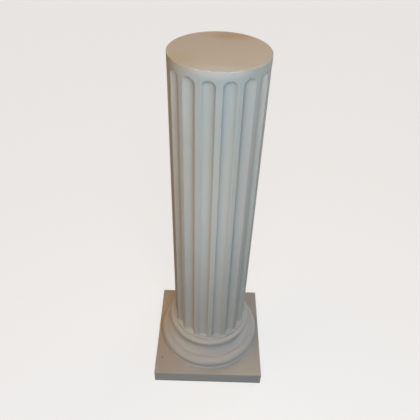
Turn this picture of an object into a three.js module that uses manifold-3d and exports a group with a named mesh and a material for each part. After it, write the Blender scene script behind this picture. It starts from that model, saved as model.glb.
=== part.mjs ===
// A plaster column for displaying things on: a straight fluted shaft on a round moulded base and a
// square plinth.
// Millimetres, +Z up. The origin is the centre of the plinth's underside, and -Y is the front.
import * as THREE from 'three';
import { RoundedBoxGeometry } from 'three/addons/geometries/RoundedBoxGeometry.js';
import { mergeVertices } from 'three/addons/utils/BufferGeometryUtils.js';
import Module from 'manifold-3d';

// The thin joint between a piece and the one it stands on
const jointGap = 0.3;

// Shaft
const shaftRadius = 108.9;
const shaftHeight = 839.2;
const shaftTopArris = 1.8;
// How far the shaft stands turned on its base, in degrees
const shaftTurn = 0.7;
const fluteCount = 16;
const filletWidth = 14;
const fluteDepth = 10;
const fluteSill = 1.5;
const collarHeight = 19;

// Round base, from its top down: a ledge, an astragal, a scotia with its lip, a torus and a foot.
// Each reach is how far one member stands out beyond the member above it.
const ledgeReach = 5.1;
const ledgeHeight = 7.5;
const ledgeArris = 3;
const astragalReach = 12;
const astragalHeight = 18;
const throatReach = 1.5;
const neckHeight = 21;
const hollowHeight = 17;
const lipReach = 20.2;
const lipWidth = 4;
const lipHeight = 4;
const torusReach = 19.5;
const torusHeight = 31.5;
const footInset = 5;
const footHeight = 15.2;
const footHollow = 6;
const footEdge = 1.5;

// Plinth
const plinthMargin = 12.3;
const plinthThickness = 46;
const plinthArris = 1.6;

// Fineness of the faceted surfaces
const sidesPerFlute = 6;
const sidesOfBase = 64;
const sidesOfCutter = 32;
const stepsOfBallEnd = 6;
const stepsOfBead = 4;
const stepsOfHollow = 7;
const stepsOfArris = 2;

// Levels
const plinthTop = plinthThickness;
const baseBottom = plinthTop + jointGap;
const torusBottom = baseBottom + footHeight;
const torusTop = torusBottom + torusHeight;
const lipTop = torusTop + lipHeight;
const throatLevel = lipTop + hollowHeight;
const scotiaTop = throatLevel + neckHeight;
const astragalTop = scotiaTop + astragalHeight;
const baseTop = astragalTop + ledgeHeight;
const shaftBottom = baseTop + jointGap;
const shaftTop = shaftBottom + shaftHeight;

// Radii
const ledgeRadius = shaftRadius + ledgeReach;
const astragalRadius = ledgeRadius + astragalReach;
const throatRadius = ledgeRadius + throatReach;
const lipRadius = throatRadius + lipReach;
const torusRadius = lipRadius + torusReach;
const footRadius = torusRadius - footInset;
const plinthSide = 2 * (torusRadius + plinthMargin);

// Angle from one flute to the next, in radians
const flutePitch = 2 * Math.PI / fluteCount;

const wasm = await Module();
wasm.setup();

// Points of an elliptical arc in a profile, from one angle to another, both in radians from the outward
// direction.
function arc(centreRadius, centreHeight, radiusAcross, radiusUp, from, to, steps) {
  const points = [];
  for (let i = 0; i <= steps; i++) {
    const angle = from + (to - from) * (i / steps);
    const radius = centreRadius + radiusAcross * Math.cos(angle);
    points.push(new THREE.Vector2(radius, centreHeight + radiusUp * Math.sin(angle)));
  }
  return points;
}

// Points of a half-round moulding of a given height that stands out to reachRadius. It springs from the
// member of radius lowerRadius under it, or else from its own lowest line, and ends at the member of radius
// upperRadius on it, or else at its own highest line.
function bead(reachRadius, bottom, height, lowerRadius, upperRadius) {
  const radius = height / 2;
  const centre = reachRadius - radius;
  const middle = bottom + radius;
  const angleAt = (neighbour) => Math.acos(Math.max(neighbour - centre, 0) / radius);
  const underside = arc(centre, middle, radius, radius, -angleAt(lowerRadius), 0, stepsOfBead);
  const upperSide = arc(centre, middle, radius, radius, 0, angleAt(upperRadius), stepsOfBead);
  return [...underside, ...upperSide.slice(1)];
}

// A closed geometry with shared vertices and no flat triangles.
function welded(geometry) {
  geometry.deleteAttribute('normal');
  geometry.deleteAttribute('uv');
  const merged = mergeVertices(geometry);
  const corners = merged.getIndex().array;
  const kept = [];
  for (let i = 0; i < corners.length; i += 3) {
    const [a, b, c] = corners.slice(i, i + 3);
    if (a !== b && b !== c && c !== a) kept.push(a, b, c);
  }
  merged.setIndex(kept);
  return merged;
}

// A solid of revolution about +Z from a profile that starts and ends on the axis.
function turned(profile, sides) {
  const geometry = new THREE.LatheGeometry(profile, sides);
  geometry.rotateX(Math.PI / 2);
  return welded(geometry);
}

function toManifold(geometry) {
  return new wasm.Manifold(new wasm.Mesh({
    numProp: 3,
    vertProperties: new Float32Array(geometry.getAttribute('position').array),
    triVerts: new Uint32Array(geometry.getIndex().array),
  }));
}

function toGeometry(manifold) {
  const mesh = manifold.getMesh();
  const geometry = new THREE.BufferGeometry();
  geometry.setAttribute('position', new THREE.BufferAttribute(new Float32Array(mesh.vertProperties), 3));
  geometry.setIndex(new THREE.BufferAttribute(new Uint32Array(mesh.triVerts), 1));
  return geometry;
}

// Points of the rounded edge between an upright face and the flat top above it.
function softEdge(radius, top, arris) {
  return arc(radius - arris, top - arris, arris, arris, 0, Math.PI / 2, stepsOfArris);
}

// The plain drum of the shaft, with a soft arris around its flat top.
function drum() {
  const profile = [
    new THREE.Vector2(0, shaftBottom),
    new THREE.Vector2(shaftRadius, shaftBottom),
    ...softEdge(shaftRadius, shaftTop, shaftTopArris),
    new THREE.Vector2(0, shaftTop),
  ];
  return turned(profile, fluteCount * sidesPerFlute);
}

// What one flute takes out of the drum at the front: an upright rod with a ball end below the collar and a
// flat end just above the drum's foot. Its axis lies outside the drum, so that the flute is a shallow arc.
function fluteCutter() {
  const halfAngle = flutePitch / 2 - Math.asin(filletWidth / 2 / shaftRadius);
  const halfWidth = shaftRadius * Math.sin(halfAngle);
  const chordRadius = shaftRadius * Math.cos(halfAngle);
  const depthBelowChord = fluteDepth - (shaftRadius - chordRadius);
  const rodRadius = (halfWidth ** 2 + depthBelowChord ** 2) / (2 * depthBelowChord);
  const ballCentre = shaftTop - collarHeight - halfWidth;
  const ball = arc(0, ballCentre, rodRadius, rodRadius, 0, Math.PI / 2, stepsOfBallEnd);
  const sill = shaftBottom + fluteSill;
  const profile = [new THREE.Vector2(0, sill), new THREE.Vector2(rodRadius, sill), ...ball];
  const geometry = turned(profile, sidesOfCutter);
  geometry.translate(0, depthBelowChord - chordRadius - rodRadius, 0);
  return geometry;
}

// The shaft: a fillet faces the front, but for the small turn, and the flutes stand half a pitch to either
// side of it.
function shaftGeometry() {
  const cutter = fluteCutter();
  cutter.rotateZ(flutePitch / 2 + THREE.MathUtils.degToRad(shaftTurn));
  let shaft = toManifold(drum());
  for (let i = 0; i < fluteCount; i++) {
    shaft = shaft.subtract(toManifold(cutter));
    cutter.rotateZ(flutePitch);
  }
  return toGeometry(shaft);
}

// The round base, with every moulding in one profile from the hollowed foot up to the ledge that the shaft
// stands on.
function baseGeometry() {
  const quarter = Math.PI / 2;
  const footNeck = footRadius - footHollow;
  const footSweep = arc(footRadius, baseBottom + footEdge + footHollow, footHollow, footHollow,
    -quarter, -2 * quarter, stepsOfArris);
  const hollowStart = lipRadius - lipWidth;
  const hollow = arc(hollowStart, throatLevel, hollowStart - throatRadius, hollowHeight,
    -quarter, -2 * quarter, stepsOfHollow);
  const astragalCentre = astragalRadius - astragalHeight / 2;
  const neck = arc(astragalCentre, throatLevel, throatRadius - astragalCentre, neckHeight,
    0, quarter, stepsOfArris);
  const profile = [
    new THREE.Vector2(0, baseBottom),
    new THREE.Vector2(footRadius, baseBottom),
    ...footSweep,
    ...bead(torusRadius, torusBottom, torusHeight, footNeck, lipRadius),
    new THREE.Vector2(lipRadius, torusTop),
    new THREE.Vector2(lipRadius, lipTop),
    ...hollow,
    ...neck.slice(1, -1),
    ...bead(astragalRadius, scotiaTop, astragalHeight, astragalCentre, ledgeRadius),
    new THREE.Vector2(ledgeRadius, astragalTop),
    ...softEdge(ledgeRadius, baseTop, ledgeArris),
    new THREE.Vector2(0, baseTop),
  ];
  return turned(profile, sidesOfBase);
}

// The square plinth, with soft arrises all round.
function plinthGeometry() {
  const geometry = new RoundedBoxGeometry(plinthSide, plinthSide, plinthThickness,
    stepsOfArris, plinthArris);
  geometry.translate(0, 0, plinthThickness / 2);
  return welded(geometry);
}

function piece(name, geometry, color) {
  const material = new THREE.MeshStandardMaterial({ color, roughness: 0.9, metalness: 0 });
  const mesh = new THREE.Mesh(geometry, material);
  mesh.name = name;
  return mesh;
}

const column = new THREE.Group();
column.add(piece('shaft', shaftGeometry(), '#dcd9d2'));
column.add(piece('base', baseGeometry(), '#d6d1c8'));
column.add(piece('plinth', plinthGeometry(), '#cdc5b8'));

export default column;
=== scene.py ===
"""The looks of a plaster display column: a straight fluted shaft on a turned base and a square plinth.

Everything is in metres, in the frame of the solids: the origin is the centre of the plinth's underside,
+Z is up and -Y is the front.
"""
import logging
import math
from collections.abc import Callable, Iterable
from dataclasses import dataclass, field
from enum import Enum

import bmesh
import bpy
from mathutils import Matrix, Vector


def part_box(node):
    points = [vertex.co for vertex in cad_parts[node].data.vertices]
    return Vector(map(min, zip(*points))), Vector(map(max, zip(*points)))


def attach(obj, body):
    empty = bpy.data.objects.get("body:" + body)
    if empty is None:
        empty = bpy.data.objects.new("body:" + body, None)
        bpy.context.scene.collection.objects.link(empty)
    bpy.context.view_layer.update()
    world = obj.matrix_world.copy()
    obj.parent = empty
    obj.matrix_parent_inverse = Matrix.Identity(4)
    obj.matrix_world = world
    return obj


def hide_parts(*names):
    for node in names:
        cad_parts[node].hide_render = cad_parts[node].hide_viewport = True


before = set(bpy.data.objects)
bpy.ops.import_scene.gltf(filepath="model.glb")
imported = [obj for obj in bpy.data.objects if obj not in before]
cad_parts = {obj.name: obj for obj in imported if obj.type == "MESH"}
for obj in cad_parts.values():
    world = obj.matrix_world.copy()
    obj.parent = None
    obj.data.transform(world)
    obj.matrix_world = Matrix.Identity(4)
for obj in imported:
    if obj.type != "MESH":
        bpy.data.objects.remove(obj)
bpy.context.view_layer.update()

log = logging.getLogger("column")

MM = 0.001
HAIR = 1e-5
Place = tuple[float, float, float]
Colour = tuple[float, float, float]
Span = tuple[float, float]
Profile = list[tuple[float, float]]
Socket = bpy.types.NodeSocket


class Kind(Enum):
    """What is picked in edit mode."""

    VERTS = "VERT"
    EDGES = "EDGE"
    FACES = "FACE"


class Bench:
    """One mesh on the bench, shaped in edit mode."""

    def __init__(self, name: str) -> None:
        """Takes the object that was just added, lays its place into its mesh and opens it for shaping.

        Args:
            name: What the piece is called.
        """
        self.piece = bpy.context.object
        self.piece.name = self.piece.data.name = name
        bpy.ops.object.transform_apply(location=True, rotation=True, scale=True)
        bpy.ops.object.mode_set(mode="EDIT")

    def pick(self, kind: Kind, test: Callable[..., bool]) -> int:
        """Selects the elements that pass a test, and no others.

        Args:
            kind: Whether vertices, edges or faces are picked.
            test: Takes one bmesh element and says whether it is picked.

        Returns:
            How many were picked.
        """
        bpy.ops.mesh.select_mode(type=kind.value)
        bpy.ops.mesh.select_all(action="DESELECT")
        shape = bmesh.from_edit_mesh(self.piece.data)
        pool = {Kind.VERTS: shape.verts, Kind.EDGES: shape.edges, Kind.FACES: shape.faces}[kind]
        chosen = [element for element in pool if test(element)]
        for element in chosen:
            element.select_set(True)
        shape.select_flush_mode()
        bmesh.update_edit_mesh(self.piece.data)
        return len(chosen)

    def keep_in(self, group: str) -> None:
        """Adds what is selected to a named vertex group.

        Args:
            group: The group's name.
        """
        groups = self.piece.vertex_groups
        if group not in groups:
            groups.new(name=group)
        groups.active_index = groups[group].index
        bpy.ops.object.vertex_group_assign()

    def extrude(self, offset: Place = (0, 0, 0)) -> None:
        """Extrudes what is selected and moves it.

        Args:
            offset: How far it moves, in metres.
        """
        bpy.ops.mesh.extrude_region_move(TRANSFORM_OT_translate={"value": offset})

    def scale(self, factors: Place, centre: Place) -> None:
        """Scales what is selected about a point.

        Args:
            factors: The scale along X, Y and Z.
            centre: The point that stays.
        """
        bpy.ops.transform.resize(value=factors, center_override=centre)

    def merge(self, distance: float = HAIR) -> None:
        """Joins vertices that lie in one place.

        Args:
            distance: How close they lie.
        """
        bpy.ops.mesh.select_mode(type="VERT")
        bpy.ops.mesh.select_all(action="SELECT")
        bpy.ops.mesh.remove_doubles(threshold=distance)

    def bevel(self, width: float, segments: int) -> None:
        """Rounds the selected edges.

        Args:
            width: How far the rounding reaches along each face.
            segments: How many facets it has.
        """
        bpy.ops.mesh.bevel(offset=width, offset_type="OFFSET", segments=segments, clamp_overlap=True)

    def rings(self, profile: Iterable[tuple[float, float]]) -> None:
        """Extrudes the selected ring through the points of a turned profile.

        Args:
            profile: The radius and level of each ring, from the one that is selected now.
        """
        points = list(profile)
        for (radius, level), (next_radius, next_level) in zip(points, points[1:]):
            self.extrude((0, 0, next_level - level))
            share = next_radius / radius
            self.scale((share, share, 1), (0, 0, next_level))

    def close(self, smooth_angle: float) -> bpy.types.Object:
        """Turns the faces outwards and leaves edit mode.

        Args:
            smooth_angle: Edges flatter than this are shaded smooth, in degrees.

        Returns:
            The piece.
        """
        self.merge()
        bpy.ops.mesh.normals_make_consistent(inside=False)
        bpy.ops.mesh.select_all(action="DESELECT")
        bpy.ops.object.mode_set(mode="OBJECT")
        bpy.ops.object.shade_smooth_by_angle(angle=math.radians(smooth_angle))
        return self.piece


def modify(piece: bpy.types.Object, kind: str, **settings: object) -> None:
    """Adds a modifier to a piece and applies it.

    Args:
        piece: The piece.
        kind: The modifier's type.
        settings: Its settings by name.
    """
    modifier = piece.modifiers.new(kind.lower(), kind)
    for name, value in settings.items():
        setattr(modifier, name, value)
    bpy.ops.object.modifier_apply(modifier=modifier.name)


def roughen(piece: bpy.types.Object, depth: float, grain: float) -> None:
    """Lets a cast surface wander a little inwards, so that it is nowhere perfectly true.

    Args:
        piece: The piece.
        depth: The most that it wanders, in metres.
        grain: The size of the waves, in metres.
    """
    texture = bpy.data.textures.new(f"{piece.name}_waves", "CLOUDS")
    texture.noise_scale = grain
    texture.noise_depth = 2
    modify(piece, "DISPLACE", texture=texture, strength=depth, mid_level=1.0, texture_coords="LOCAL")


def arc(centre: Span, across: float, up: float, start: float, end: float, steps: int) -> Profile:
    """Points of an elliptical arc in a turned profile.

    Args:
        centre: The radius and level of the arc's centre.
        across: Its half axis outwards.
        up: Its half axis upwards.
        start: Its first angle from the outward direction, in degrees.
        end: Its last angle.
        steps: How many steps it is drawn in.

    Returns:
        The radius and level of each point.
    """
    angles = [math.radians(start + (end - start) * i / steps) for i in range(steps + 1)]
    return [(centre[0] + across * math.cos(a), centre[1] + up * math.sin(a)) for a in angles]


@dataclass(frozen=True)
class Spot:
    """A round or long patch on the plaster, a stain or painted light or shade, and whether dust lies over
    it.
    """

    place: Place
    reach: Place
    colour: Colour
    strength: float
    under_dust: bool = False


class Mix:
    """The nodes of one plaster, which read Object coordinates, so that it stays put on its piece."""

    def __init__(self, name: str) -> None:
        """Opens a new material.

        Args:
            name: What the material is called.
        """
        self.material = bpy.data.materials.new(name)
        self.material.use_nodes = True
        self.nodes = self.material.node_tree.nodes
        self.links = self.material.node_tree.links
        self.shader = self.nodes["Principled BSDF"]
        self.place = self.nodes.new("ShaderNodeTexCoord").outputs["Object"]

    def noise(self, scale: float, detail: float, soft: float = 0.5) -> Socket:
        """Cloudy noise.

        Args:
            scale: How many clouds there are to a metre.
            detail: How many finer layers lie on them.
            soft: How strong the finer layers are.

        Returns:
            The noise, from 0 to 1.
        """
        node = self.nodes.new("ShaderNodeTexNoise")
        node.inputs["Scale"].default_value = scale
        node.inputs["Detail"].default_value = detail
        node.inputs["Roughness"].default_value = soft
        self.links.new(self.place, node.inputs["Vector"])
        return node.outputs["Fac"]

    def spread(self, value: Socket, source: Span, target: Span) -> Socket:
        """Maps a value smoothly from one range to another.

        Args:
            value: The value.
            source: The range that it comes from.
            target: The range that it goes to.

        Returns:
            The mapped value.
        """
        node = self.nodes.new("ShaderNodeMapRange")
        node.interpolation_type = "SMOOTHSTEP"
        for socket, number in zip(("From Min", "From Max", "To Min", "To Max"), (*source, *target)):
            node.inputs[socket].default_value = number
        self.links.new(value, node.inputs["Value"])
        return node.outputs["Result"]

    def upright(self, vector: Socket) -> Socket:
        """Takes the Z part of a vector.

        Args:
            vector: The vector.

        Returns:
            Its Z part.
        """
        split = self.nodes.new("ShaderNodeSeparateXYZ")
        self.links.new(vector, split.inputs["Vector"])
        return split.outputs["Z"]

    def times(self, first: Socket, second: Socket) -> Socket:
        """Multiplies two values.

        Args:
            first: One value.
            second: The other.

        Returns:
            The product.
        """
        node = self.nodes.new("ShaderNodeMath")
        node.operation = "MULTIPLY"
        self.links.new(first, node.inputs[0])
        self.links.new(second, node.inputs[1])
        return node.outputs["Value"]

    def blend(self, factor: Socket, under: Socket | Colour, over: Colour) -> Socket:
        """Lays one colour over another.

        Args:
            factor: How much of the upper colour shows.
            under: The colour below.
            over: The colour above.

        Returns:
            The mixed colour.
        """
        node = self.nodes.new("ShaderNodeMix")
        node.data_type = "RGBA"
        self.links.new(factor, node.inputs["Factor"])
        if isinstance(under, tuple):
            node.inputs["A"].default_value = (*under, 1)
        else:
            self.links.new(under, node.inputs["A"])
        node.inputs["B"].default_value = (*over, 1)
        return node.outputs["Result"]

    def stain_or_painted_light(self, under: Socket, spot: Spot) -> Socket:
        """Puts a spot on a colour: a stain or mark, or painted light or shade.

        Args:
            under: The colour below.
            spot: The spot.

        Returns:
            The colour with the spot on it.
        """
        centred = self.nodes.new("ShaderNodeMapping")
        centred.vector_type = "TEXTURE"
        centred.inputs["Location"].default_value = spot.place
        centred.inputs["Scale"].default_value = spot.reach
        self.links.new(self.place, centred.inputs["Vector"])
        length = self.nodes.new("ShaderNodeVectorMath")
        length.operation = "LENGTH"
        self.links.new(centred.outputs["Vector"], length.inputs[0])
        strength = self.spread(length.outputs["Value"], (0.2, 1.0), (spot.strength, 0.0))
        return self.blend(strength, under, spot.colour)

    def bump(self, height: Socket, strength: float, depth: float) -> bpy.types.Node:
        """Raises a pattern on the surface.

        Args:
            height: The pattern.
            strength: How much of it shows.
            depth: How high it stands, in metres.

        Returns:
            The bump node.
        """
        node = self.nodes.new("ShaderNodeBump")
        node.inputs["Strength"].default_value = strength
        node.inputs["Distance"].default_value = depth
        self.links.new(height, node.inputs["Height"])
        return node


@dataclass(frozen=True)
class Plaster:
    """Matt off-white plaster in two tones, with dust on its upward faces, marks, and painted light and
    shade.

    The scales of its patterns are given in clouds to a metre.
    """

    name: str
    colour: Colour
    shade: Colour
    dust_colour: Colour
    dust_from: float = -1.0
    dust_fade: float = 0.02
    spots: tuple[Spot, ...] = ()
    roughness: Span = (0.84, 0.98)
    specular: float = 0.25
    tone_scale: float = 7.0
    dust_scale: float = 23.0
    roughness_scale: float = 60.0
    grain_scale: float = 420.0
    grain_depth: float = 0.6 * MM
    trowel_scale: float = 48.0
    trowel_depth: float = 1.5 * MM

    def make(self) -> bpy.types.Material:
        """Mixes the plaster.

        Returns:
            The material.
        """
        mix = Mix(self.name)
        mix.shader.inputs["Specular IOR Level"].default_value = self.specular
        mix.links.new(self.paint(mix), mix.shader.inputs["Base Color"])
        mix.links.new(mix.spread(mix.noise(self.roughness_scale, 4.0), (0.3, 0.7), self.roughness),
                      mix.shader.inputs["Roughness"])
        grain = mix.bump(mix.noise(self.grain_scale, 6.0, 0.65), 0.35, self.grain_depth)
        trowel = mix.bump(mix.noise(self.trowel_scale, 4.0), 0.3, self.trowel_depth)
        mix.links.new(grain.outputs["Normal"], trowel.inputs["Normal"])
        mix.links.new(trowel.outputs["Normal"], mix.shader.inputs["Normal"])
        return mix.material

    def paint(self, mix: Mix) -> Socket:
        """Lays the colours of the plaster over each other.

        Args:
            mix: The nodes of this plaster.

        Returns:
            The colour of the surface.
        """
        colour = mix.blend(mix.spread(mix.noise(self.tone_scale, 5.0, 0.55), (0.35, 0.7), (0.0, 1.0)),
                           self.colour, self.shade)
        # Spots under the dust: on the shaft, painted light and shade.
        for spot in self.spots:
            if spot.under_dust:
                colour = mix.stain_or_painted_light(colour, spot)

        facing = mix.nodes.new("ShaderNodeNewGeometry").outputs["Normal"]
        settled = mix.spread(mix.upright(facing), (0.25, 0.95), (0.0, 1.0))
        high_up = mix.spread(mix.upright(mix.place), (self.dust_from - self.dust_fade, self.dust_from),
                             (0.0, 1.0))
        patchy = mix.spread(mix.noise(self.dust_scale, 6.0, 0.6), (0.3, 0.65), (0.75, 1.0))
        colour = mix.blend(mix.times(mix.times(settled, high_up), patchy), colour, self.dust_colour)

        # Spots over the dust: stains and marks, and painted light and shade.
        for spot in self.spots:
            if not spot.under_dust:
                colour = mix.stain_or_painted_light(colour, spot)
        return colour


@dataclass
class Piece:
    """A piece of the column that stands in for the solid of the same name."""

    node: str
    finish: Plaster
    low: float = field(init=False)
    high: float = field(init=False)

    def __post_init__(self) -> None:
        """Takes the levels of its underside and its top from the solid."""
        lowest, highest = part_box(self.node)
        self.low, self.high = lowest.z, highest.z

    def shape(self) -> bpy.types.Object:
        """Makes the mesh of the piece."""
        raise NotImplementedError

    def build(self) -> bpy.types.Object:
        """Makes the piece, dresses it and puts it in its solid's place.

        Returns:
            The piece.
        """
        bpy.ops.object.select_all(action="DESELECT")
        piece = self.shape()
        piece.data.materials.clear()
        piece.data.materials.append(self.finish.make())
        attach(piece, "root")
        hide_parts(self.node)
        log.info("%s: %d faces", piece.name, len(piece.data.polygons))
        return piece


@dataclass
class Shaft(Piece):
    """The straight shaft: flutes with round heads under a plain collar, and a flat top."""

    radius: float = 108.9 * MM
    turn: float = 0.7
    flutes: int = 16
    fillet: float = 14 * MM
    flute_depth: float = 10 * MM
    sill: float = 1.5 * MM
    collar: float = 19 * MM
    flute_arris: float = 1.0 * MM
    top_arris: float = 1.8 * MM
    across_flute: int = 20
    across_fillet: int = 3
    up_flute: int = 48
    up_collar: int = 6
    round_head: int = 20
    top_rings: tuple[float, ...] = (1, 0.96, 0.88, 0.76, 0.62, 0.46, 0.3, 0.14)
    smooth_angle: float = 40
    wave_depth: float = 0.25 * MM
    wave_size: float = 35 * MM

    def shape(self) -> bpy.types.Object:
        """Shapes one bay, with one flute, and sets it round the shaft.

        Returns:
            The shaft.
        """
        half_pitch = math.pi / self.flutes
        half_angle = half_pitch - math.asin(self.fillet / 2 / self.radius)
        self.half_width = self.radius * math.sin(half_angle)
        self.chord = self.radius * math.cos(half_angle)
        self.hollow = self.flute_depth - (self.radius - self.chord)
        self.sill_level = self.low + self.sill
        self.springing = self.high - self.collar - self.half_width
        self.edge_x = self.radius * math.sin(half_pitch)
        self.edge_y = -self.radius * math.cos(half_pitch)

        bench = self.trough()
        self.face(bench)
        self.soften_flute(bench)
        self.set_round(bench)
        self.cap(bench)
        shaft = bench.close(self.smooth_angle)
        shaft.rotation_euler.z = half_pitch + math.radians(self.turn)
        bpy.ops.object.transform_apply(location=False, rotation=True, scale=False)
        roughen(shaft, self.wave_depth, self.wave_size)
        modify(shaft, "WEIGHTED_NORMAL", keep_sharp=True)
        return shaft

    def trough(self) -> Bench:
        """Shapes the hollow of one flute: an arc drawn up the shaft, then swung over into its round head.

        Returns:
            The bench, with the flute's hollow on it.
        """
        width, chord, low = self.half_width, self.chord, self.sill_level
        curve = (width ** 2 + self.hollow ** 2) / 2 / self.hollow
        centre = (0, -chord - curve + self.hollow, low)
        bpy.ops.mesh.primitive_plane_add(size=HAIR, location=(-width, -chord, low))
        bench = Bench("shaft_fluted")
        bpy.ops.mesh.select_all(action="SELECT")
        bpy.ops.mesh.merge(type="CENTER")
        sweep = 2 * math.atan2(width, curve - self.hollow)
        bpy.ops.mesh.spin(steps=self.across_flute, angle=sweep, axis=(0, 0, 1), center=centre)
        bench.pick(Kind.EDGES, lambda e: True)
        for _ in range(self.up_flute):
            bench.extrude((0, 0, (self.springing - low) / self.up_flute))
        bench.pick(Kind.EDGES, lambda e: all(v.co.x > -HAIR and v.co.z > self.springing - HAIR
                                             for v in e.verts))
        bpy.ops.mesh.spin(steps=self.round_head, angle=math.pi, axis=(0, 1, 0),
                          center=(0, 0, self.springing))
        bench.merge()
        self.steepen_head(bench)
        return bench

    def steepen_head(self, bench: Bench) -> None:
        """Pushes the rings of the round head up, so that its wall stands steeper the higher it is.

        Args:
            bench: The bench, with the flute's hollow on it.
        """
        def share(v: bmesh.types.BMVert) -> float:
            """How far out a vertex of the head lies, as a share of the flute's half width."""
            return math.hypot(v.co.x, v.co.z - self.springing) / self.half_width

        slack = 0.002
        head = [v for v in bmesh.from_edit_mesh(bench.piece.data).verts if v.co.z > self.springing + HAIR]
        for ring in sorted({round(share(v), 3) for v in head}):
            bench.pick(Kind.VERTS, lambda v: v.co.z > self.springing + HAIR and abs(share(v) - ring) < slack)
            bench.scale((1, 1, math.sqrt(2 - min(ring, 1) ** 2)), (0, 0, self.springing))

    def face(self, bench: Bench) -> None:
        """Shapes the face of the shaft round one flute: the sill, the two half fillets and the collar.

        Args:
            bench: The bench, with the flute's hollow on it.
        """
        width, chord = self.half_width, self.chord

        bench.pick(Kind.EDGES, lambda e: e.is_boundary and all(v.co.z > self.sill_level + HAIR or
                                                               abs(v.co.x) > width - HAIR for v in e.verts))
        bench.keep_in("face")

        bench.pick(Kind.EDGES, lambda e: e.is_boundary and all(v.co.z < self.sill_level + HAIR
                                                               for v in e.verts))
        bench.extrude()
        bench.scale((1, 0, 1), (0, -chord, self.sill_level))
        bench.keep_in("face")
        bench.merge()

        for side in (-1, 1):
            bench.pick(Kind.EDGES, lambda e: e.is_boundary and all(
                abs(v.co.x - side * width) < HAIR and v.co.z < self.springing + HAIR for v in e.verts))
            parts = self.across_fillet
            for _ in range(parts):
                bench.extrude((side * (self.edge_x - width) / parts, (self.edge_y + chord) / parts, 0))
                bench.keep_in("face")

        height = self.high - self.springing
        corner = (-self.edge_x, self.edge_y, self.springing)
        bench.pick(Kind.VERTS, lambda v: (v.co - Vector(corner)).length < HAIR)
        steps = [(0, 0, height / self.up_collar)] * self.up_collar
        along = self.round_head - 2 * self.up_collar
        steps += [(2 * self.edge_x / along, 0, 0)] * along
        steps += [(0, 0, -height / self.up_collar)] * self.up_collar
        for step in steps:
            bench.extrude(step)
            bench.keep_in("face")
        bench.merge()

        def on_head(v: bmesh.types.BMVert) -> bool:
            """Whether a vertex lies on the rim of the flute's round head."""
            return (abs(v.co.y + chord) < HAIR and v.co.z > self.springing - HAIR
                    and abs(v.co.x) < width + HAIR)

        bench.pick(Kind.EDGES, lambda e: e.is_wire or e.is_boundary and all(on_head(v) for v in e.verts))
        bpy.ops.mesh.bridge_edge_loops(type="SINGLE", number_cuts=2, interpolation="LINEAR", smoothness=0)
        bench.keep_in("face")
        bench.merge()

        bench.pick(Kind.EDGES, lambda e: e.is_boundary and all(v.co.z < self.sill_level + HAIR
                                                               for v in e.verts))
        bench.extrude((0, 0, -self.sill))
        bench.keep_in("face")

        bpy.ops.object.mode_set(mode="OBJECT")
        modify(bench.piece, "CAST", cast_type="CYLINDER", factor=1.0, use_radius_as_size=False,
               size=self.radius, use_z=False, vertex_group="face")
        bpy.ops.object.mode_set(mode="EDIT")

    def soften_flute(self, bench: Bench) -> None:
        """Rounds the arris round the mouth of the flute.

        Args:
            bench: The bench, with one bay on it.
        """
        slack = 0.15 * MM

        def on_rim(v: bmesh.types.BMVert) -> bool:
            """Whether a vertex lies on the arris between the flute and the face."""
            if abs(v.co.xy.length - self.radius) > HAIR or v.co.z < self.sill_level - HAIR:
                return False
            above = max(v.co.z - self.springing, 0)
            return abs(math.hypot(v.co.x, above) - self.half_width) < slack

        bench.pick(Kind.EDGES, lambda e: all(on_rim(v) for v in e.verts))
        bench.bevel(self.flute_arris, 2)

    def set_round(self, bench: Bench) -> None:
        """Sets copies of the bay all round the shaft and joins them.

        Args:
            bench: The bench, with one bay on it.
        """
        copies = self.flutes - 1
        bpy.ops.mesh.select_mode(type="VERT")
        bpy.ops.mesh.select_all(action="SELECT")
        bpy.ops.mesh.spin(steps=copies, dupli=True, angle=2 * math.pi * copies / self.flutes,
                          center=(0, 0, 0), axis=(0, 0, 1))
        bench.merge(3 * HAIR)

    def cap(self, bench: Bench) -> None:
        """Closes the shaft's underside, and its top with a softly rounded rim.

        Args:
            bench: The bench, with the whole face of the shaft on it.
        """
        bench.pick(Kind.EDGES, lambda e: e.is_boundary and all(v.co.z < self.low + HAIR for v in e.verts))
        bpy.ops.mesh.edge_face_add()
        bench.pick(Kind.EDGES, lambda e: e.is_boundary and all(v.co.z > self.high - HAIR for v in e.verts))
        bench.rings([(self.radius * share, self.high) for share in self.top_rings])
        bpy.ops.mesh.merge(type="CENTER")
        bench.pick(Kind.EDGES, lambda e: all(v.co.z > self.high - HAIR and
                                             v.co.xy.length > self.radius - 2 * HAIR for v in e.verts))
        bench.bevel(self.top_arris, 4)


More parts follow.
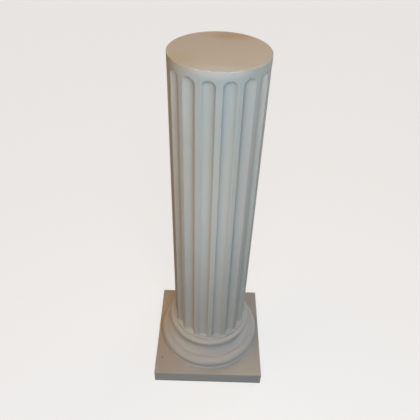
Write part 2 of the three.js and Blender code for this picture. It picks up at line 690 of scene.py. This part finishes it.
@dataclass
class Base(Piece):
    """The turned base: a hollowed foot, a torus, a lip, a scotia, an astragal and a ledge."""

    foot: float = 150.2 * MM
    foot_edge: float = 1.5 * MM
    foot_hollow: float = 6 * MM
    foot_height: float = 15.2 * MM
    torus: float = 155.2 * MM
    torus_height: float = 31.5 * MM
    lip: float = 135.7 * MM
    lip_width: float = 4 * MM
    lip_height: float = 4 * MM
    throat: float = 115.5 * MM
    hollow_height: float = 17 * MM
    neck_height: float = 21 * MM
    astragal: float = 126 * MM
    astragal_height: float = 18 * MM
    ledge: float = 114 * MM
    ledge_arris: float = 3 * MM
    worn: float = 0.7 * MM
    sides: int = 192
    top_rings: tuple[float, ...] = (1, 0.9, 0.7, 0.45, 0.2)
    smooth_angle: float = 35
    wave_depth: float = 0.35 * MM
    wave_size: float = 40 * MM

    def profile(self) -> Profile:
        """The radius and level of each ring, from the foot's underside up to the edge of the flat top.

        Returns:
            The turned profile.
        """
        torus_round = self.torus_height / 2
        torus_bottom = self.low + self.foot_height
        torus_top = torus_bottom + self.torus_height
        lip_top = torus_top + self.lip_height
        throat_level = lip_top + self.hollow_height
        scotia_top = throat_level + self.neck_height
        astragal_round = self.astragal_height / 2
        astragal_centre = self.astragal - astragal_round
        torus_centre = self.torus - torus_round
        hollow_start = self.lip - self.lip_width
        foot_neck = self.foot - self.foot_hollow
        underside = math.degrees(math.acos((foot_neck - torus_centre) / torus_round))
        return [
            (self.foot, self.low),
            *arc((self.foot, self.low + self.foot_edge + self.foot_hollow),
                 self.foot_hollow, self.foot_hollow, -90, -180, 6),
            *arc((torus_centre, torus_bottom + torus_round),
                 torus_round, torus_round, -underside, 90, 26),
            (self.lip, torus_top),
            (self.lip, lip_top),
            *arc((hollow_start, throat_level),
                 hollow_start - self.throat, self.hollow_height, -90, -180, 14),
            *arc((astragal_centre, throat_level),
                 self.throat - astragal_centre, self.neck_height, 0, 90, 8)[1:-1],
            *arc((astragal_centre, scotia_top + astragal_round),
                 astragal_round, astragal_round, -90, 90, 20),
            (self.ledge, scotia_top + self.astragal_height),
            *arc((self.ledge - self.ledge_arris, self.high - self.ledge_arris),
                 self.ledge_arris, self.ledge_arris, 0, 90, 5),
        ]

    def shape(self) -> bpy.types.Object:
        """Draws the profile up from the ring of the foot, as if it were turned.

        Returns:
            The base.
        """
        points = self.profile()
        foot, lowest = points[0]
        bpy.ops.mesh.primitive_circle_add(vertices=self.sides, radius=foot, fill_type="NGON",
                                          location=(0, 0, lowest))
        bench = Bench("base_turned")
        bench.pick(Kind.EDGES, lambda e: e.is_boundary)
        bench.rings(points)
        top, level = points[-1]
        bench.rings([(top * share, level) for share in self.top_rings])
        bpy.ops.mesh.merge(type="CENTER")
        lip_top = self.low + self.foot_height + self.torus_height + self.lip_height
        for radius, at in ((self.lip, lip_top), (self.foot, self.low + self.foot_edge)):
            bench.pick(Kind.EDGES, lambda e: all(
                abs(v.co.z - at) < HAIR and abs(v.co.xy.length - radius) < HAIR for v in e.verts))
            bench.bevel(self.worn, 2)
        base = bench.close(self.smooth_angle)
        roughen(base, self.wave_depth, self.wave_size)
        return base


@dataclass
class Plinth(Piece):
    """The square plinth, with softly rounded arrises and a nick in its top."""

    side: float = 335 * MM
    arris: float = 1.6 * MM
    nick: Place = (-0.148, -0.113, 0.046)
    nick_reach: float = 2.6 * MM
    nick_depth: float = 1.2 * MM
    nick_patch: float = 9 * MM
    cuts_along: int = 40
    cuts_up: int = 4
    cuts_at_nick: int = 5
    smooth_angle: float = 35
    wave_depth: float = 0.4 * MM
    wave_size: float = 60 * MM

    def shape(self) -> bpy.types.Object:
        """Cuts a block to size, rounds its arrises and nicks its top.

        Returns:
            The plinth.
        """
        thickness = self.high - self.low
        bpy.ops.mesh.primitive_cube_add(size=1, location=(0, 0, self.low + thickness / 2),
                                        scale=(self.side, self.side, thickness))
        bench = Bench("plinth_square")
        bench.pick(Kind.EDGES, lambda e: True)
        bench.bevel(self.arris, 4)
        half = self.side / 2 - self.arris
        for axis in (0, 1):
            bench.pick(Kind.EDGES, lambda e: abs(e.verts[0].co[axis] - e.verts[1].co[axis]) > half)
            bpy.ops.mesh.subdivide(number_cuts=self.cuts_along)
        bench.pick(Kind.EDGES, lambda e: abs(e.verts[0].co.z - e.verts[1].co.z) > thickness / 2)
        bpy.ops.mesh.subdivide(number_cuts=self.cuts_up)
        place = Vector(self.nick)
        bench.pick(Kind.FACES, lambda f: f.normal.z > 0.9
                   and (f.calc_center_median() - place).length < self.nick_patch)
        bpy.ops.mesh.subdivide(number_cuts=self.cuts_at_nick)
        bench.pick(Kind.VERTS, lambda v: v.co.z > self.high - HAIR
                   and (v.co - place).length < self.nick_reach)
        bpy.ops.transform.translate(value=(0, 0, -self.nick_depth))
        plinth = bench.close(self.smooth_angle)
        roughen(plinth, self.wave_depth, self.wave_size)
        return plinth


class Reach(Enum):
    """How a lamp shines: from a place near the column, or broadly from far off."""

    NEAR = "POINT"
    FAR = "SUN"


@dataclass(frozen=True)
class Lamp:
    """A soft lamp.

    A near lamp's place is where it hangs, its size is its radius in metres and its power is in watts. A far
    lamp's place is the angle round the column from the front to the right and the angle above the floor, its
    size is the angle that it fills, all in degrees, and its power is in watts a square metre.
    """

    name: str
    reach: Reach
    place: tuple[float, ...]
    size: float
    power: Colour


LAMPS = (
    Lamp("low_lamp", Reach.NEAR, (0, -0.95, 0.9), 0.25, (8.79, 10.4, 11.43)),
    Lamp("high_lamp", Reach.NEAR, (0, -0.95, 1.8), 0.25, (9.63, 6.82, 4.19)),
    Lamp("high_right_lamp", Reach.NEAR, (0.246, -0.918, 1.8), 0.25, (12.88, 15.95, 17.76)),
    Lamp("warm_back_lamp", Reach.NEAR, (0.823, 0.475, 1.8), 0.25, (6.55, 3.67, 0.84)),
    Lamp("left_fill", Reach.FAR, (315, 10), 35, (0.243, 0.14, 0.05)),
    Lamp("right_fill", Reach.FAR, (45, 10), 35, (0.109, 0.118, 0.126)),
    Lamp("back_fill", Reach.FAR, (135, 10), 35, (0.995, 1.025, 0.992)),
    Lamp("warm_fill", Reach.FAR, (270, 60), 35, (0.539, 0.301, 0.069)),
    Lamp("rear_fill", Reach.FAR, (200, 0), 35, (0.6, 0.55, 0.48)),
)


@dataclass
class Studio:
    """A pale floor, soft lamps and the camera."""

    eye: Place = (-0.01128, -0.91915, 1.34941)
    yaw: float = 0.19
    pitch: float = -41.3304
    roll: float = 1.89
    focal_pixels: float = 455.5
    picture: int = 420
    sensor: float = 36.0
    rise: float = 10.0
    floor_side: float = 40.0
    floor_level: float = -0.4 * MM
    floor_tone: float = 0.3
    floor_glow: float = 0.7
    air_colour: Colour = (0.084, 0.086, 0.09)

    def camera(self) -> None:
        """Stands the camera where it looks down on the column from just in front."""
        yaw, pitch, roll = (math.radians(a) for a in (self.yaw, self.pitch, self.roll))
        ahead = Vector((math.sin(yaw) * math.cos(pitch), math.cos(yaw) * math.cos(pitch), math.sin(pitch)))
        level = Vector((math.cos(yaw), -math.sin(yaw), 0))
        over = level.cross(ahead)
        right = math.cos(roll) * level + math.sin(roll) * over
        up = math.cos(roll) * over - math.sin(roll) * level
        data = bpy.data.cameras.new("camera")
        data.sensor_width = self.sensor
        data.lens = self.focal_pixels / self.picture * self.sensor
        data.shift_y = self.rise / self.picture
        camera = bpy.data.objects.new("camera", data)
        bpy.context.scene.collection.objects.link(camera)
        camera.matrix_world = (Matrix.Translation(self.eye)
                               @ Matrix((right, up, -ahead)).transposed().to_4x4())
        bpy.context.scene.camera = camera

    def hang(self, lamp: Lamp) -> None:
        """Hangs a lamp, which lights the column but isn't seen itself.

        Args:
            lamp: The lamp.
        """
        data = bpy.data.lights.new(lamp.name, lamp.reach.value)
        strength = max(lamp.power)
        data.energy = strength
        data.color = tuple(part / strength for part in lamp.power)
        hung = bpy.data.objects.new(lamp.name, data)
        bpy.context.scene.collection.objects.link(hung)
        if lamp.reach is Reach.NEAR:
            data.shadow_soft_size = lamp.size
            hung.location = lamp.place
        else:
            data.angle = math.radians(lamp.size)
            around, above = (math.radians(a) for a in lamp.place[:2])
            towards = Vector((math.sin(around) * math.cos(above), -math.cos(around) * math.cos(above),
                              math.sin(above)))
            hung.rotation_euler = towards.to_track_quat("Z", "Y").to_euler()
        hung.visible_camera = False

    def floor(self) -> None:
        """Lays the pale floor."""
        bpy.ops.object.select_all(action="DESELECT")
        bpy.ops.mesh.primitive_grid_add(x_subdivisions=8, y_subdivisions=8, size=self.floor_side,
                                        location=(0, 0, self.floor_level))
        floor = bpy.context.object
        floor.name = "floor"
        bpy.ops.object.transform_apply(location=True)
        material = bpy.data.materials.new("pale_floor")
        material.use_nodes = True
        shader = material.node_tree.nodes["Principled BSDF"]
        shader.inputs["Base Color"].default_value = (self.floor_tone, self.floor_tone, self.floor_tone, 1)
        shader.inputs["Roughness"].default_value = 1.0
        shader.inputs["Specular IOR Level"].default_value = 0.0
        shader.inputs["Emission Color"].default_value = (1, 1, 1, 1)
        shader.inputs["Emission Strength"].default_value = self.floor_glow
        floor.data.materials.append(material)
        floor.visible_diffuse = False
        floor.visible_glossy = False
        floor.visible_shadow = False

    def air(self) -> None:
        """Fills the room with soft light from all round."""
        world = bpy.data.worlds.new("soft_light")
        world.use_nodes = True
        background = world.node_tree.nodes["Background"]
        background.inputs["Color"].default_value = (*self.air_colour, 1)
        bpy.context.scene.world = world

    def build(self) -> None:
        """Sets up the whole studio."""
        self.camera()
        self.floor()
        self.air()
        for lamp in LAMPS:
            self.hang(lamp)
        bpy.context.scene.view_settings.view_transform = "Standard"


SHAFT_PLASTER = Plaster(
    name="shaft_plaster",
    colour=(0.655, 0.645, 0.614),
    shade=(0.625, 0.612, 0.58),
    dust_colour=(0.721, 0.661, 0.61),
    dust_from=0.99,
    spots=(
        Spot((0.028, 0.082, 1.0), (0.07, 0.034, 0.02), (0.6, 0.41, 0.26), 0.5),
        Spot((-0.078, -0.05, 1.0), (0.045, 0.042, 0.02), (0.68, 0.57, 0.36), 0.45),
        # Painted light: the front of the top made lighter and cooler, where the front light falls.
        Spot((0, -0.1, 1.0), (0.1, 0.035, 0.02), (0.82, 0.785, 0.77), 0.55),
        Spot((-0.0521, -0.0815, 1.0), (0.0028, 0.0028, 0.003), (0.25, 0.18, 0.12), 0.4),
        # Painted light: the front of the upper shaft tinted cooler, for the cool light falling there.
        Spot((0.02, -0.109, 0.94), (0.13, 0.09, 0.2), (0.555, 0.59, 0.585), 0.9, under_dust=True),
        # Painted light: the front of the collar tinted cooler, for the cool light falling there.
        Spot((0.01, -0.109, 0.99), (0.09, 0.06, 0.05), (0.49, 0.55, 0.56), 0.5, under_dust=True),
        # Painted light: a pool of light on the front of the shaft's middle, made lighter.
        Spot((0, -0.109, 0.58), (0.13, 0.09, 0.25), (0.715, 0.705, 0.68), 0.8, under_dust=True),
        # Painted light and shade: the shaft's left side browner and darker, for dim warm light from the
        # left.
        Spot((-0.105, -0.028, 0.6), (0.035, 0.065, 0.9), (0.58, 0.51, 0.42), 0.7, under_dust=True),
    ),
)
BASE_PLASTER = Plaster(
    name="base_plaster",
    colour=(0.627, 0.62, 0.619),
    shade=(0.597, 0.59, 0.589),
    dust_colour=(0.612, 0.593, 0.585),
    spots=(
        # Painted light: the left side of the base tinted warm brown, for the warm light from the left.
        Spot((-0.16, 0.02, 0.09), (0.06, 0.16, 0.08), (0.64, 0.51, 0.4), 0.7),
    ),
)
PLINTH_PLASTER = Plaster(
    name="plinth_plaster",
    colour=(0.579, 0.586, 0.6),
    shade=(0.551, 0.558, 0.572),
    dust_colour=(0.576, 0.53, 0.489),
    spots=(
        # Painted light and shade: the left back of the plinth's top orange, warm-lit and shaded from the
        # front light.
        Spot((-0.14, 0.12, 0.046), (0.1, 0.22, 0.03), (0.6, 0.46, 0.31), 0.5),
        # Painted shade: the right back corner of the plinth's top darker and cooler.
        Spot((0.15, 0.15, 0.046), (0.06, 0.09, 0.03), (0.455, 0.455, 0.485), 0.75),
        # Painted light: the left front of the plinth's top tinted warm, for the warm light from the left.
        Spot((-0.15, -0.08, 0.046), (0.1, 0.16, 0.03), (0.57, 0.48, 0.4), 0.6),
        # Painted shadow: the shaft's shadow across the right of the plinth's top, greyer and cooler.
        Spot((0.155, 0.02, 0.046), (0.045, 0.13, 0.03), (0.49, 0.48, 0.465), 0.9),
        Spot((-0.148, -0.113, 0.045), (0.0035, 0.007, 0.004), (0.12, 0.09, 0.07), 0.5),
    ),
)


def main() -> None:
    """Builds the studio and the pieces of the column, and reports each."""
    logging.basicConfig(level=logging.INFO, format="%(name)s: %(message)s")
    Studio().build()
    for piece in (Shaft("shaft", SHAFT_PLASTER), Base("base", BASE_PLASTER),
                  Plinth("plinth", PLINTH_PLASTER)):
        piece.build()


if __name__ == "__main__":
    main()
